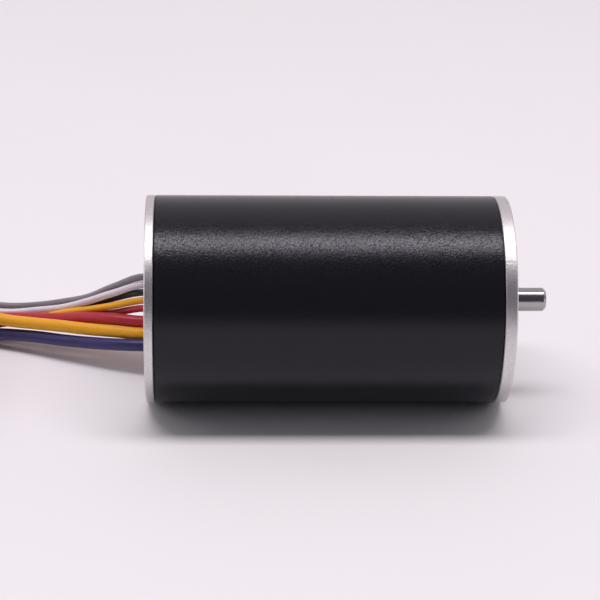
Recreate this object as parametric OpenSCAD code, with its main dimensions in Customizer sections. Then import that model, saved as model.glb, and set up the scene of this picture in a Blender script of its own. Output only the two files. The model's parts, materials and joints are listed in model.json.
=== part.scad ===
// Brushless motor with a black tube, two silver end rims, a plain shaft and eight coloured leads.
// It lies on its side. Its leads run back along the surface to a coil behind the motor.
// X is the shaft axis and points out of the front. The origin is on the axis, in the front mounting face.
// Y points sideways, to the side where the leads come out, and Z points up.

/* [Body] */
// Outside diameter of the tube and of both rims
body_d = 35; // [34:0.5:37]
// Length from the front mounting face to the rear face
body_l = 60.5; // [59:0.5:66]
// Wall of the tube
tube_wall = 1.4; // [1.2:0.1:1.6]
// Thickness of the front rim that shows
front_rim = 2.05; // [1.6:0.05:2.5]
// Thickness of the rear rim that shows
rear_rim = 1.5; // [1:0.1:2]
// Chamfer on the outer edge of each rim
rim_chamfer = 0.2; // [0.1:0.05:0.4]
// Chamfer on the ends of the tube and on the inner edge of each rim
seam_chamfer = 0.15; // [0.05:0.05:0.3]

/* [Front flange] */
// Length of the flange's spigot inside the tube
front_spigot_l = 3.6; // [3.2:0.1:4.5]
// Lip of the flange in front of the bearing
front_lip = 1.2; // [0.8:0.1:1.6]
// Diameter of the pilot boss
pilot_d = 16; // [14:0.5:18]
// Height of the pilot boss
pilot_h = 1; // [0.6:0.1:1.5]
// Number of threaded mounting holes
mount_count = 6; // [3:1:8]
// Diameter of the circle of mounting holes
mount_circle_d = 22; // [21.5:0.5:25]
// Tap drill diameter of a mounting hole
mount_hole_d = 2.5; // [1.6:0.1:3]
// Depth of a mounting hole
mount_hole_depth = 4.5; // [3:0.1:5]

/* [Rear cover] */
// Thickness of the rear cover's end plate
rear_plate = 3; // [2.4:0.1:4]
// Wall of the ring on the rear cover that holds the circuit board
ring_wall = 0.8; // [0.6:0.1:1]
// Metal left behind the rear bearing
rear_floor = 1.1; // [0.8:0.1:1.4]
// Wall of both bearing hubs
hub_wall = 1.8; // [1.4:0.1:2]

/* [Shaft] */
// Diameter of the shaft
shaft_d = 4; // [3.6:0.1:4.2]
// Length of the shaft in front of the mounting face
shaft_out = 7; // [5:0.5:15]
// Chamfer on the front end of the shaft
shaft_chamfer = 0.45; // [0.2:0.05:0.6]

/* [Bearings] */
// Outside diameter of a bearing
bearing_od = 13; // [12.6:0.1:13.4]
// Width of a bearing
bearing_w = 5; // [4.6:0.1:5.2]
// Diameter of a ball
ball_d = 2.2; // [1.9:0.05:2.3]
// Number of balls in a bearing
ball_count = 7; // [6:1:7]
// Thickness of a bearing shield
shield_t = 0.25; // [0.2:0.05:0.3]

/* [Stator] */
// Radial room between the bearing hubs and the winding
hub_clearance = 1.9; // [1.4:0.1:2.4]
// Share of the room between the tube and the winding's bore that the laminations take
stack_share = 0.46; // [0.4:0.01:0.5]
// How far the lamination stack reaches past each end of the magnet
stack_overhang = 1; // [0.5:0.1:1.5]
// Thickness of the insulating sleeve inside the laminations
sleeve_t = 0.25; // [0.2:0.05:0.35]
// How far the winding reaches past each end of the lamination stack
winding_overhang = 2; // [1.5:0.1:2.4]

/* [Rotor] */
// Radial gap between the rotor and the winding
air_gap = 0.5; // [0.3:0.05:0.7]
// Thickness of the retaining sleeve round the magnet
retainer_t = 0.3; // [0.2:0.05:0.4]
// Thickness of a balance disc
disc_t = 2.5; // [2:0.1:2.8]
// Length of the front spacer
spacer_l = 2.6; // [2.3:0.1:3]
// Thickness of the sensor magnet
sensor_magnet_t = 1.2; // [0.8:0.1:1.6]

/* [Circuit board] */
// Room between the rear bearing and the circuit board
board_clearance = 3; // [2.4:0.1:4]
// Thickness of the circuit board
board_t = 1; // [0.8:0.1:1.2]
// Thickness of a Hall sensor
sensor_t = 0.9; // [0.7:0.1:1.1]
// Gap between the Hall sensors and the sensor magnet
sensor_gap = 0.4; // [0.3:0.05:0.6]

/* [Leads] */
// Diameter of a phase lead
phase_lead_d = 2.15; // [1.9:0.05:2.2]
// Diameter of a Hall lead
hall_lead_d = 1.25; // [1.1:0.05:1.25]
// Length of each lead outside the rear face, with its tinned end
lead_l = 200; // [170:1:205]
// Length of a tinned end
tip_l = 3; // [2:0.5:4]
// Width of a coil tie's band
tie_w = 2.4; // [1.8:0.1:3]
// Thickness of a coil tie's band
tie_t = 0.6; // [0.4:0.05:0.8]

/* [Hidden] */
$fn = 96;

// Clearance of a glued or pressed seat between pieces of one body
seat_gap = 0.02;
// How far a cutting shape runs past what it cuts
overrun = 1;
// Chamfer on the pilot boss and at the mouth of each threaded hole
pilot_chamfer = 0.25;
// Angle of the first threaded hole
first_hole_angle = 90;

body_r = body_d / 2;
bore_r = body_r - tube_wall;
spigot_r = bore_r - seat_gap;
hub_r = bearing_od / 2 + hub_wall;
floor_z = -body_r;
rear_x = -body_l;

// Radial stack of the motor, from the tube inwards
winding_bore_r = hub_r + hub_clearance;
stack_r = bore_r - seat_gap;
sleeve_r = stack_r - stack_share * (bore_r - winding_bore_r);
winding_r = sleeve_r - sleeve_t - seat_gap;
retainer_r = winding_bore_r - air_gap;
magnet_r = retainer_r - retainer_t;

// Bearing radii: the balls run on a circle halfway between the bore and the outside
ball_circle_r = (shaft_d + bearing_od) / 4;
race_gap = 0.03;
race_r = ball_d / 2 + race_gap;
shoulder_share = 0.5;
inner_ring_r = ball_circle_r - ball_d / 2 * shoulder_share;
outer_ring_bore_r = ball_circle_r + ball_d / 2 * shoulder_share;
shield_inset = 0.15;
shield_seat = 0.6;
shield_gap = 0.1;
cage_gap = 0.1;
cage_wall = 0.25;

// Places along the shaft, from the front face to the magnet
front_bearing_x = -front_lip;
front_hub_x = front_bearing_x - bearing_w;
flange_back_x = -front_rim - front_spigot_l;
front_disc_x = front_hub_x - spacer_l;
magnet_front_x = front_disc_x - disc_t;

// Places along the shaft, from the rear face to the magnet
washer_h = 0.6;
washer_t = 0.3;
rear_pocket_x = rear_x + rear_floor;
rear_bearing_back_x = rear_pocket_x + washer_h;
rear_bearing_x = rear_bearing_back_x + bearing_w;
board_back_x = rear_bearing_x + board_clearance;
board_front_x = board_back_x + board_t;
sensor_magnet_back_x = board_front_x + sensor_t + sensor_gap;
rear_disc_back_x = sensor_magnet_back_x + sensor_magnet_t;
magnet_back_x = rear_disc_back_x + disc_t;

// Ends of the stator, from the ends of the magnet, and the rear end of the shaft
stack_front_x = magnet_front_x + stack_overhang;
stack_back_x = magnet_back_x - stack_overhang;
winding_front_x = stack_front_x + winding_overhang;
winding_back_x = stack_back_x - winding_overhang;
shaft_end_gap = 0.2;
shaft_end_chamfer = 0.3;
shaft_back_x = rear_bearing_back_x + shaft_end_gap;

// Retaining clip in a groove of the shaft, in front of the front bearing
clip_t = 0.5;
clip_w = 1.2;
clip_opening = 60;
groove_depth = 0.25;
groove_gap = 0.02;

// Opening in the flange's lip: it bears on the outer ring only and clears the inner ring
lip_gap = 0.6;
lip_bore_r = inner_ring_r + lip_gap;

// Slot for the leads in the rear cover, and the liner in it
slot_wall = 0.35;
slot_gap = 0.05;
slot_w = phase_lead_d + 2 * slot_gap + 2 * slot_wall;
slot_r = bore_r - ring_wall - slot_w / 2 - slot_gap;
slot_ends = [-66, -3];
liner_proud = 0.5;

// Circuit board
board_r = bore_r - 2 * seat_gap;
board_hole_gap = 0.4;
board_hole_r = hub_r + board_hole_gap;
pad_t = 0.3;
pad_x = board_back_x - pad_t;
sensor_w = 2.9;
sensor_h = 1.3;
sensor_angles = [90, 210, 330];
screw_angles = [30, 150, 255];
screw_d = 1.2;
screw_head_d = 2;
screw_head_t = 0.9;
screw_hole_gap = 0.05;
screw_depth_share = 0.7;
screw_slot_share = 0.25;
screw_circle_r = (winding_bore_r + stack_r) / 2;

// Windings and laminations: three phases of two opposite belts, each a sixth of the ring less a gap
belt_angle = 60;
belt_gap_angle = 1.5;
weld_groove_d = 1;
pin_d = 0.7;
pin_gap = 0.05;
pin_end = 0.3;
pin_angles = [180, 60, 120];
pin_r = (winding_bore_r + winding_r) / 2;
support_gap = 0.05;

// Leads that leave the slot: their names, kinds, angles in the slot and levels in the coil
PHASE = 0;
HALL = 1;
lead_names = ["phase_red", "phase_yellow", "phase_blue",
    "hall_grey", "hall_white", "hall_black", "hall_yellow", "hall_red"];
lead_kinds = [PHASE, PHASE, PHASE, HALL, HALL, HALL, HALL, HALL];
lead_angles = [-42, -51.4, -60.9, -8.5, -14.3, -20.1, -25.9, -31.7];
lead_levels = [1, 2, 0, 4, 3, 2, 1, 0];

// Routes of the leads' free stretches: distance behind the rear face, sideways, height above the surface.
// The phase leads pass in front of the Hall leads, and the white one passes in front of the grey one.
phase_red_route = [
    [6.5, 11.8, 8.1], [11, 13.9, 7.3], [15.5, 15.6, 6.3], [20, 17.4, 5.5],
    [25.5, 19.4, 4.6], [32, 20.3, 3.9], [39, 20.6, 3.9]
];
phase_yellow_route = [
    [6.5, 10, 6.6], [11, 11.5, 6.3], [15.5, 13.1, 6.1], [20, 14.9, 5.7],
    [25.5, 16.9, 5.4], [32, 18.9, 6], [39, 20.3, 6.1]
];
phase_blue_route = [
    [6.5, 8.4, 4.85], [11, 10.4, 4.2], [15.5, 12.4, 3.7], [20, 14.5, 3.3],
    [25.5, 16.7, 2.7], [32, 18.9, 1.9], [39, 20.4, 1.7]
];
hall_grey_route = [
    [6.5, 16, 12.35], [11, 18.1, 9.4], [15.5, 20.2, 7.5], [20, 21.6, 6.2],
    [25.5, 22.8, 5.4], [32, 22.7, 6.2], [39, 22.5, 6.5]
];
hall_white_route = [
    [6.5, 14.3, 11.9], [11, 16.6, 9.3], [15.5, 18.9, 7], [20, 20.3, 5.8],
    [25.5, 21.5, 4.8], [32, 22, 5.1], [39, 22.3, 5.2]
];
hall_black_route = [
    [6.5, 15.6, 10.3], [11, 17.7, 7.9], [15.5, 20.2, 5.8], [20, 22.2, 4.3],
    [25.5, 23.2, 3.9], [32, 22.9, 3.9], [39, 22.6, 3.9]
];
hall_yellow_route = [
    [6.5, 13.4, 9.9], [11, 15.6, 8.1], [15.5, 17.5, 6.6], [20, 19.4, 4.7],
    [25.5, 21.2, 3.5], [32, 22, 2.85], [39, 22.4, 2.6]
];
hall_red_route = [
    [6.5, 14, 8.2], [11, 16.1, 6.6], [15.5, 18.2, 4.9], [20, 20.4, 3.5],
    [25.5, 22.1, 2.4], [32, 22, 1.4], [39, 22.3, 1.3]
];
routes = [phase_red_route, phase_yellow_route, phase_blue_route,
    hall_grey_route, hall_white_route, hall_black_route, hall_yellow_route, hall_red_route];

// How far each lead runs straight out of the rear face
straight_out = 1;

// Coil of the leads, on the surface behind the motor: the phase leads are the inner column of each turn,
// the Hall leads are the outer column, and the turns lie side by side
coil_behind = 47;
coil_side = 5;
phase_coil_r = 15.6;
lead_gap = 0.05;
column_gap = 0.12;
turn_gap = 0.7;
lead_lift = tie_t + lead_gap;
hall_coil_r = phase_coil_r + phase_lead_d / 2 + column_gap + hall_lead_d / 2;
turn_pitch = phase_lead_d + column_gap + hall_lead_d + turn_gap;
coil_x = rear_x - coil_behind;
free_sides = 8;
coil_sides = 6;
coil_rings = 24;
phase_tip_d = 1;
hall_tip_d = 0.6;

// Ties round the coil, by the angle where each one is
tie_angles = [75, 255];
tie_gap = 0.3;
tie_head_l = 3.4;
tie_head_h = 2.2;
tie_tail_l = 2.5;

// Colours of the materials
anodised = [0.09, 0.09, 0.1];
aluminium = [0.8, 0.79, 0.8];
nylon = [0.12, 0.12, 0.12];
plastic = [0.2, 0.2, 0.22];
lamination = [0.45, 0.46, 0.48];
film = [0.85, 0.75, 0.5];
copper = [0.75, 0.4, 0.2];
laminate = [0.05, 0.3, 0.15];
steel = [0.78, 0.79, 0.8];
spring = [0.4, 0.4, 0.43];
brass = [0.75, 0.63, 0.33];
tin = [0.72, 0.72, 0.74];
red = [0.66, 0.14, 0.18];
yellow = [0.9, 0.62, 0.12];
blue = [0.18, 0.17, 0.4];
grey = [0.5, 0.48, 0.52];
white = [0.85, 0.83, 0.86];
black = [0.1, 0.1, 0.1];

// A point at a radius and an angle from +Y towards +Z, as [sideways, up]
function polar(radius, angle) = [radius * cos(angle), radius * sin(angle)];
function unit(v) = v / norm(v);
function sum(v, i = 0) = i < len(v) ? v[i] + sum(v, i + 1) : 0;

function lead_d(i) = lead_kinds[i] == PHASE ? phase_lead_d : hall_lead_d;
function lead_exit(i) = polar(slot_r, lead_angles[i]);
function lead_height(i) = lead_lift + lead_d(i) / 2 + lead_levels[i] * (lead_d(i) + lead_gap);
function lead_coil_r(i) = lead_kinds[i] == PHASE ? phase_coil_r : hall_coil_r;

// A point of a lead's coil, after it has turned through an angle, and its direction there
function coil_radius(i, a) = lead_coil_r(i) - turn_pitch * a / 360;
function coil_point(i, a) = [
    coil_x - coil_radius(i, a) * sin(a),
    coil_side + coil_radius(i, a) * cos(a),
    floor_z + lead_height(i)
];
function coil_way(i, a) = let (inward = turn_pitch / (2 * PI)) unit([
    inward * sin(a) - coil_radius(i, a) * cos(a),
    -inward * cos(a) - coil_radius(i, a) * sin(a),
    0
]);

// A lead's free stretch: from its solder pad, straight out of the slot and on to the coil
function coil_start(i) = coil_point(i, 0) - lead_d(i) * coil_way(i, 0);
function free_path(i) = concat(
    [for (x = [pad_x, rear_x - straight_out]) [x, lead_exit(i).x, lead_exit(i).y]],
    [for (p = routes[i]) [rear_x - p.x, p.y, floor_z + p.z]],
    [coil_start(i)]
);
function path_length(path) = sum([for (k = [1 : len(path) - 1]) norm(path[k] - path[k - 1])]);
function free_outside(i) = path_length(free_path(i)) - (pad_x - rear_x);

// The angle through which a lead turns in its coil, from the length that is left for it
function coil_length(i) = lead_l - free_outside(i) - tip_l - 2 * lead_d(i);
function coil_turned(i) =
    (lead_coil_r(i) - sqrt(pow(lead_coil_r(i), 2) - turn_pitch * coil_length(i) / PI)) * 360 / turn_pitch;
function coil_steps(i) = ceil(coil_turned(i) * coil_rings / 360);
function coil_path(i) = concat(
    [coil_start(i)],
    [for (k = [0 : coil_steps(i)]) coil_point(i, coil_turned(i) * k / coil_steps(i))],
    [coil_end(i)]
);
function coil_end(i) = coil_point(i, coil_turned(i)) + lead_d(i) * coil_way(i, coil_turned(i));

// Least gap of a coil to itself, on points that lie half a turn or more apart along it
function self_gap(path, d, apart) = min([
    for (j = [apart : len(path) - 1]) for (k = [0 : j - apart]) norm(path[j] - path[k]) - d
]);
for (i = [0 : len(lead_names) - 1]) {
    echo(lead = lead_names[i], turns = coil_turned(i) / 360, outside = free_outside(i),
        self_gap = self_gap(coil_path(i), lead_d(i), coil_rings / 2));
}

// A closed tube along a path, with its two end faces square to the given directions
module tube_along(path, d, sides, first_way, last_way) {
    last = len(path) - 1;
    ways = [for (k = [0 : last])
        k == 0 ? first_way : k == last ? last_way : unit(path[k + 1] - path[k - 1])];
    ring = [for (k = [0 : last]) for (s = [0 : sides - 1])
        let (side = unit(cross(ways[k], [0, 0, 1])), up = cross(side, ways[k]))
        let (a = 360 * (s + 0.5) / sides)
        path[k] + d / 2 * (cos(a) * up - sin(a) * side)];
    walls = [for (k = [0 : last - 1]) for (s = [0 : sides - 1])
        let (a = k * sides + s, b = k * sides + (s + 1) % sides)
        each [[a, a + sides, b + sides], [a, b + sides, b]]];
    first_end = [for (s = [1 : sides - 2]) [0, s, s + 1]];
    last_end = [for (s = [1 : sides - 2]) [last * sides, last * sides + s + 1, last * sides + s]];
    polyhedron(points = ring, faces = concat(walls, first_end, last_end));
}

// A body of revolution about the shaft axis, from an outline of [radius, place along the axis]
module turned(outline) {
    rotate([0, 90, 0]) rotate_extrude() polygon(outline);
}

// A ring between two radii and two places along the axis
module ring_between(inner_r, outer_r, back_x, front_x) {
    turned([[inner_r, back_x], [outer_r, back_x], [outer_r, front_x], [inner_r, front_x]]);
}

// Part of such a ring, from one angle to another, measured from +Y towards +Z
module arc_between(inner_r, outer_r, back_x, front_x, from_angle, to_angle) {
    outline = [[inner_r, back_x], [outer_r, back_x], [outer_r, front_x], [inner_r, front_x]];
    rotate([from_angle - 90, 0, 0]) rotate([0, 90, 0]) rotate([0, 0, 180])
        rotate_extrude(angle = to_angle - from_angle) polygon(outline);
}

// Puts its children at a radius and an angle, with their own Z axis along the shaft axis
module at_polar(radius, angle, x) {
    place = polar(radius, angle);
    translate([x, place.x, place.y]) rotate([0, 90, 0]) children();
}

// A straight pin along the shaft axis
module pin_at(radius, angle, back_x, front_x, d) {
    at_polar(radius, angle, back_x) cylinder(d = d, h = front_x - back_x);
}

module housing_tube() {
    back = rear_x + rear_rim;
    front = -front_rim;
    color(anodised) turned([
        [bore_r, back],
        [body_r - seam_chamfer, back],
        [body_r, back + seam_chamfer],
        [body_r, front - seam_chamfer],
        [body_r - seam_chamfer, front],
        [bore_r, front]
    ]);
}

module front_flange() {
    pocket_r = bearing_od / 2 + seat_gap;
    pilot_r = pilot_d / 2;
    color(aluminium) difference() {
        turned([
            [lip_bore_r, pilot_h],
            [pilot_r - pilot_chamfer, pilot_h],
            [pilot_r, pilot_h - pilot_chamfer],
            [pilot_r, 0],
            [body_r - rim_chamfer, 0],
            [body_r, -rim_chamfer],
            [body_r, -front_rim + seam_chamfer],
            [body_r - seam_chamfer, -front_rim],
            [spigot_r, -front_rim],
            [spigot_r, flange_back_x],
            [hub_r, flange_back_x],
            [hub_r, min(front_hub_x, flange_back_x - seat_gap)],
            [pocket_r, min(front_hub_x, flange_back_x - seat_gap)],
            [pocket_r, front_bearing_x],
            [lip_bore_r, front_bearing_x]
        ]);
        for (k = [0 : mount_count - 1]) {
            angle = first_hole_angle + 360 * k / mount_count;
            pin_at(mount_circle_d / 2, angle, -mount_hole_depth, overrun, mount_hole_d);
            at_polar(mount_circle_d / 2, angle, -pilot_chamfer)
                cylinder(d1 = mount_hole_d, d2 = mount_hole_d + 2 * pilot_chamfer, h = pilot_chamfer);
        }
    }
}

// The slot's shape: an arc with round ends, narrower by a margin all round
module lead_slot(margin, back_x, front_x) {
    half = slot_w / 2 - margin;
    far = 2 * body_r;
    middle = (slot_ends[0] + slot_ends[1]) / 2;
    wedge = [for (angle = [slot_ends[0], middle, slot_ends[1]]) polar(far, angle)];
    translate([back_x, 0, 0]) rotate([0, 90, 0]) rotate([0, 0, 90]) linear_extrude(front_x - back_x) {
        intersection() {
            difference() {
                circle(r = slot_r + half);
                circle(r = slot_r - half);
            }
            polygon(concat([[0, 0]], wedge));
        }
        for (angle = slot_ends) {
            translate(polar(slot_r, angle)) circle(r = half);
        }
    }
}

module rear_cover() {
    pocket_r = bearing_od / 2 + seat_gap;
    ring_r = bore_r - ring_wall;
    plate_x = rear_x + rear_plate;
    color(aluminium) difference() {
        turned([
            [0, rear_x],
            [body_r - rim_chamfer, rear_x],
            [body_r, rear_x + rim_chamfer],
            [body_r, rear_x + rear_rim - seam_chamfer],
            [body_r - seam_chamfer, rear_x + rear_rim],
            [spigot_r, rear_x + rear_rim],
            [spigot_r, board_back_x],
            [ring_r, board_back_x],
            [ring_r, plate_x],
            [hub_r, plate_x],
            [hub_r, rear_bearing_x],
            [pocket_r, rear_bearing_x],
            [pocket_r, rear_pocket_x],
            [0, rear_pocket_x]
        ]);
        lead_slot(0, rear_x - overrun, plate_x + overrun);
    }
}

// Liner glued into the slot: it stands a little proud of the plate inside
module wire_grommet() {
    inner_x = rear_x + rear_plate + liner_proud;
    color(nylon) difference() {
        lead_slot(seat_gap, rear_x, inner_x);
        lead_slot(slot_wall, rear_x - overrun, inner_x + overrun);
    }
}

// Bonded pack of laminations, with a weld groove along each side
module stator_stack() {
    color(lamination) difference() {
        ring_between(sleeve_r, stack_r, stack_back_x, stack_front_x);
        for (angle = [0 : 90 : 270]) {
            pin_at(stack_r, angle, stack_back_x - overrun, stack_front_x + overrun, weld_groove_d);
        }
    }
}

module insulation_sleeve() {
    color(film)
        ring_between(sleeve_r - sleeve_t, sleeve_r - seat_gap, stack_back_x, stack_front_x);
}

module winding_phase(k) {
    half = (belt_angle - belt_gap_angle) / 2;
    color(copper) for (middle = [k * belt_angle, k * belt_angle + 180]) {
        arc_between(winding_bore_r, winding_r, winding_back_x, winding_front_x,
            middle - half, middle + half);
    }
}

module winding_phase_u() { winding_phase(0); }
module winding_phase_v() { winding_phase(1); }
module winding_phase_w() { winding_phase(2); }

// Plastic ring between the flange and the stator, with a lip that centres the end of the winding
module front_coil_support() {
    color(plastic) turned([
        [winding_bore_r, winding_front_x],
        [winding_r + support_gap, winding_front_x],
        [winding_r + support_gap, stack_front_x],
        [stack_r, stack_front_x],
        [stack_r, flange_back_x],
        [winding_bore_r, flange_back_x]
    ]);
}

// Plastic ring between the stator and the circuit board
module rear_coil_support() {
    screw_depth = (winding_back_x - board_front_x) * screw_depth_share;
    color(plastic) difference() {
        turned([
            [winding_bore_r, board_front_x],
            [stack_r, board_front_x],
            [stack_r, stack_back_x],
            [winding_r + support_gap, stack_back_x],
            [winding_r + support_gap, winding_back_x],
            [winding_bore_r, winding_back_x]
        ]);
        for (angle = pin_angles) {
            pin_at(pin_r, angle, board_front_x - overrun, winding_back_x + overrun, pin_d + 2 * pin_gap);
        }
        for (angle = screw_angles) {
            pin_at(screw_circle_r, angle, board_front_x - overrun, board_front_x + screw_depth,
                screw_d + 2 * screw_hole_gap);
        }
    }
}

// Copper pins that take the three phases through the support to the circuit board
module winding_pins() {
    color(copper) for (angle = pin_angles) {
        pin_at(pin_r, angle, board_back_x - pin_end, winding_back_x, pin_d);
    }
}

module hall_board() {
    color(laminate) difference() {
        ring_between(board_hole_r, board_r, board_back_x, board_front_x);
        for (angle = pin_angles) {
            pin_at(pin_r, angle, board_back_x - overrun, board_front_x + overrun, pin_d + 2 * pin_gap);
        }
        for (angle = screw_angles) {
            pin_at(screw_circle_r, angle, board_back_x - overrun, board_front_x + overrun,
                screw_d + 2 * screw_hole_gap);
        }
    }
}

module hall_sensors() {
    color(black) for (angle = sensor_angles) {
        rotate([angle, 0, 0]) translate([board_front_x, board_hole_r, -sensor_w / 2])
            cube([sensor_t, sensor_h, sensor_w]);
    }
}

// Solder joints where the leads meet the circuit board
module solder_pads() {
    color(steel) for (i = [0 : len(lead_names) - 1]) {
        pin_at(slot_r, lead_angles[i], pad_x, board_back_x, lead_d(i));
    }
}

module board_screws() {
    screw_depth = (winding_back_x - board_front_x) * screw_depth_share;
    slot_depth = screw_head_t / 2;
    color(brass) for (angle = screw_angles) {
        difference() {
            union() {
                pin_at(screw_circle_r, angle, board_back_x - screw_head_t, board_back_x, screw_head_d);
                pin_at(screw_circle_r, angle, board_back_x - seat_gap, board_front_x + screw_depth,
                    screw_d);
            }
            at_polar(screw_circle_r, angle, board_back_x - screw_head_t - slot_depth)
                translate([-screw_head_d, -screw_head_d * screw_slot_share / 2, 0])
                    cube([2 * screw_head_d, screw_head_d * screw_slot_share, 2 * slot_depth]);
        }
    }
}

// Bearing pieces, each from the bearing's front face
module bearing_outer_ring(front_x) {
    seat_r = outer_ring_bore_r + shield_seat;
    step = shield_inset + shield_t;
    color(steel) difference() {
        turned([
            [seat_r, front_x - bearing_w],
            [bearing_od / 2, front_x - bearing_w],
            [bearing_od / 2, front_x],
            [seat_r, front_x],
            [seat_r, front_x - step],
            [outer_ring_bore_r, front_x - step],
            [outer_ring_bore_r, front_x - bearing_w + step],
            [seat_r, front_x - bearing_w + step]
        ]);
        bearing_race(front_x);
    }
}

module bearing_race(front_x) {
    translate([front_x - bearing_w / 2, 0, 0]) rotate([0, 90, 0]) rotate_extrude()
        translate([ball_circle_r, 0]) circle(r = race_r);
}

module bearing_inner_ring(front_x) {
    color(steel) difference() {
        ring_between(shaft_d / 2 + seat_gap, inner_ring_r, front_x - bearing_w, front_x);
        bearing_race(front_x);
    }
}

module bearing_balls(front_x) {
    color(steel) for (k = [0 : ball_count - 1]) {
        at_polar(ball_circle_r, 360 * k / ball_count, front_x - bearing_w / 2) sphere(d = ball_d);
    }
}

module bearing_cage(front_x) {
    half_w = race_r + cage_wall;
    mid_x = front_x - bearing_w / 2;
    color(brass) difference() {
        ring_between(inner_ring_r + cage_gap, outer_ring_bore_r - cage_gap,
            mid_x - half_w, mid_x + half_w);
        for (k = [0 : ball_count - 1]) {
            rotate([360 * k / ball_count, 0, 0]) translate([mid_x, inner_ring_r, 0]) rotate([-90, 0, 0])
                cylinder(r = race_r, h = outer_ring_bore_r - inner_ring_r);
        }
    }
}

module bearing_shields(front_x) {
    seat_r = outer_ring_bore_r + shield_seat - seat_gap;
    color(steel) for (x = [front_x - shield_inset, front_x - bearing_w + shield_inset + shield_t]) {
        ring_between(inner_ring_r + shield_gap, seat_r, x - shield_t, x);
    }
}

module front_bearing_outer_ring() { bearing_outer_ring(front_bearing_x); }
module front_bearing_inner_ring() { bearing_inner_ring(front_bearing_x); }
module front_bearing_cage() { bearing_cage(front_bearing_x); }
module front_bearing_balls() { bearing_balls(front_bearing_x); }
module front_bearing_shields() { bearing_shields(front_bearing_x); }
module rear_bearing_outer_ring() { bearing_outer_ring(rear_bearing_x); }
module rear_bearing_inner_ring() { bearing_inner_ring(rear_bearing_x); }
module rear_bearing_cage() { bearing_cage(rear_bearing_x); }
module rear_bearing_balls() { bearing_balls(rear_bearing_x); }
module rear_bearing_shields() { bearing_shields(rear_bearing_x); }

// Disc spring behind the rear bearing: it pushes on the outer ring
module preload_washer() {
    inner_r = outer_ring_bore_r + shield_seat + seat_gap;
    outer_r = bearing_od / 2 - seat_gap;
    color(spring) turned([
        [outer_r, rear_pocket_x],
        [outer_r, rear_pocket_x + washer_t],
        [inner_r, rear_bearing_back_x],
        [inner_r, rear_bearing_back_x - washer_t]
    ]);
}

module shaft() {
    r = shaft_d / 2;
    groove_back_x = front_bearing_x - groove_gap;
    groove_front_x = front_bearing_x + clip_t + groove_gap;
    color(steel) turned([
        [0, shaft_back_x],
        [r - shaft_end_chamfer, shaft_back_x],
        [r, shaft_back_x + shaft_end_chamfer],
        [r, groove_back_x],
        [r - groove_depth, groove_back_x],
        [r - groove_depth, groove_front_x],
        [r, groove_front_x],
        [r, shaft_out - shaft_chamfer],
        [r - shaft_chamfer, shaft_out],
        [0, shaft_out]
    ]);
}

// Open ring in the shaft's groove: it holds the front bearing's inner ring
module shaft_clip() {
    inner_r = shaft_d / 2 - groove_depth + groove_gap;
    outer_r = shaft_d / 2 + clip_w;
    color(spring) arc_between(inner_r, outer_r, front_bearing_x, front_bearing_x + clip_t,
        clip_opening / 2, 360 - clip_opening / 2);
}

module rotor_magnet() {
    color(spring) ring_between(shaft_d / 2 + seat_gap, magnet_r, magnet_back_x, magnet_front_x);
}

module magnet_retainer() {
    color(nylon) ring_between(magnet_r + seat_gap, retainer_r, magnet_back_x, magnet_front_x);
}

module front_balance_disc() {
    color(brass) ring_between(shaft_d / 2 + seat_gap, magnet_r, magnet_front_x, front_disc_x);
}

module rear_balance_disc() {
    color(brass) ring_between(shaft_d / 2 + seat_gap, magnet_r, rear_disc_back_x, magnet_back_x);
}

module sensor_magnet() {
    color(nylon) ring_between(shaft_d / 2 + seat_gap, magnet_r, sensor_magnet_back_x, rear_disc_back_x);
}

module front_spacer() {
    color(steel) ring_between(shaft_d / 2 + seat_gap, inner_ring_r, front_disc_x, front_hub_x);
}

module rear_spacer() {
    color(steel) ring_between(shaft_d / 2 + seat_gap, inner_ring_r, rear_bearing_x, sensor_magnet_back_x);
}

module free_lead(i, shade) {
    color(shade) tube_along(free_path(i), lead_d(i), free_sides, [-1, 0, 0], coil_way(i, 0));
}

module lead_coil(i, shade) {
    color(shade)
        tube_along(coil_path(i), lead_d(i), coil_sides, coil_way(i, 0), coil_way(i, coil_turned(i)));
}

module phase_lead_red() { free_lead(0, red); }
module phase_lead_yellow() { free_lead(1, yellow); }
module phase_lead_blue() { free_lead(2, blue); }
module hall_lead_grey() { free_lead(3, grey); }
module hall_lead_white() { free_lead(4, white); }
module hall_lead_black() { free_lead(5, black); }
module hall_lead_yellow() { free_lead(6, yellow); }
module hall_lead_red() { free_lead(7, red); }
module phase_coil_red() { lead_coil(0, red); }
module phase_coil_yellow() { lead_coil(1, yellow); }
module phase_coil_blue() { lead_coil(2, blue); }
module hall_coil_grey() { lead_coil(3, grey); }
module hall_coil_white() { lead_coil(4, white); }
module hall_coil_black() { lead_coil(5, black); }
module hall_coil_yellow() { lead_coil(6, yellow); }
module hall_coil_red() { lead_coil(7, red); }

// Tinned ends of the leads, in line with the end of each coil
module lead_tips() {
    color(tin) for (i = [0 : len(lead_names) - 1]) {
        way = coil_way(i, coil_turned(i));
        tip_d = lead_kinds[i] == PHASE ? phase_tip_d : hall_tip_d;
        translate(coil_end(i)) rotate([0, 0, atan2(way.y, way.x)]) rotate([0, 90, 0])
            cylinder(d = tip_d, h = tip_l);
    }
}

// A flat shape with round corners, from its two opposite corners
module rounded_rect(low, high, r) {
    translate([low.x + r, low.y]) square([high.x - low.x - 2 * r, high.y - low.y]);
    translate([low.x, low.y + r]) square([high.x - low.x, high.y - low.y - 2 * r]);
    for (x = [low.x + r, high.x - r]) for (y = [low.y + r, high.y - r]) {
        translate([x, y]) circle(r = r);
    }
}

// Radii of a lead's turns at an angle of the coil. A turn that ends just before the angle counts too,
// since a tie is wide enough to reach it.
function tie_reach(i) = 360 * tie_w / (PI * coil_radius(i, 0));
function passes(i, angle) = [for (a = [angle : 360 : coil_turned(i) + tie_reach(i)]) coil_radius(i, a)];

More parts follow.
